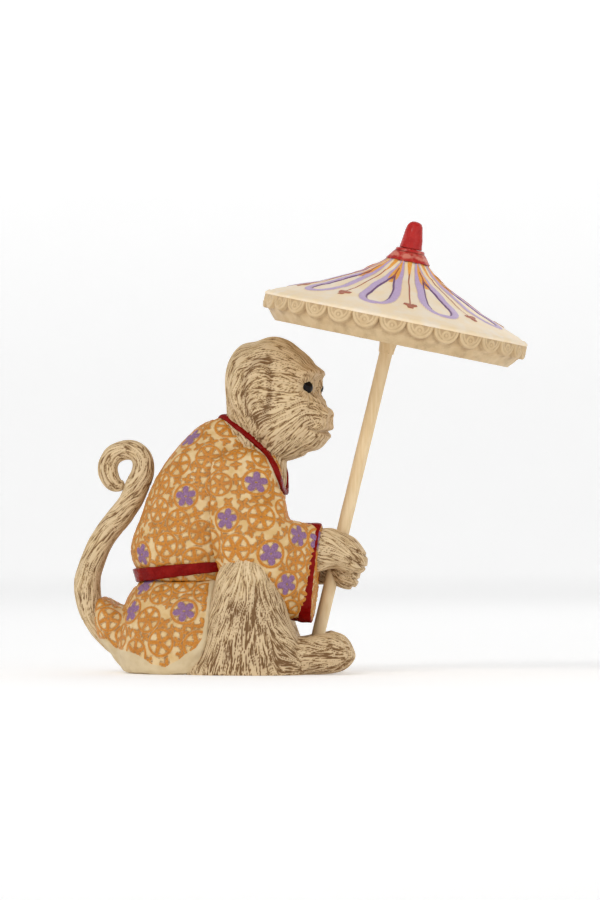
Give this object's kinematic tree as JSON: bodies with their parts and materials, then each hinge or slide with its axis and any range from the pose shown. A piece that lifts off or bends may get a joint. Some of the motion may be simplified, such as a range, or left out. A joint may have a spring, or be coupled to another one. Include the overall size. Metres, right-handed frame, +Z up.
{
  "type": "monkey figurine",
  "caption": "Cast figurine of a seated monkey in a patterned robe, holding a parasol whose pole lifts out and whose canopy turns.",
  "frame": {"origin": "on the flat underside, under the front of the waist", "axes": "+X the way the monkey faces, +Z up, +Y towards the monkey's left side"},
  "size_m": [0.2194, 0.1292, 0.2168],
  "materials": {
    "fur": "cast resin, cream with a brown wash in the grooves",
    "robe": "cast resin, painted ochre rosettes over cream",
    "red_trim": "dark red gloss enamel",
    "eye": "gloss black",
    "cream_pole": "cream paint, satin",
    "canopy": "cast resin, painted petals over cream",
    "valance": "cast resin, beige"
  },
  "bodies": {
    "monkey": {"robe_top": "robe", "robe_skirt": "robe", "right_sleeve": "robe", "left_sleeve": "robe", "sash": "red_trim", "collar_band": "red_trim", "right_cuff_band": "red_trim", "left_cuff_band": "red_trim", "head": "fur", "right_leg": "fur", "left_leg": "fur", "right_hand": "fur", "left_hand": "fur", "tail": "fur", "seat_base": "fur", "right_eye": "eye", "left_eye": "eye"},
    "parasol_mast": {"pole": "cream_pole", "ferrule": "cream_pole"},
    "parasol_top": {"canopy_top": "canopy", "valance": "valance", "finial_cap": "red_trim", "finial": "red_trim"}
  },
  "joints": [
    {"name": "parasol_lift", "type": "slide", "parent": "monkey", "child": "parasol_mast", "axis": [0.236, 0, 0.9718], "range_m": [0, 0.075]},
    {"name": "canopy_turn", "type": "hinge", "parent": "parasol_mast", "child": "parasol_top", "pos_m": [0.08088, 0, 0.17697], "axis": [0.236, 0, 0.9718], "continuous": true}
  ]
}
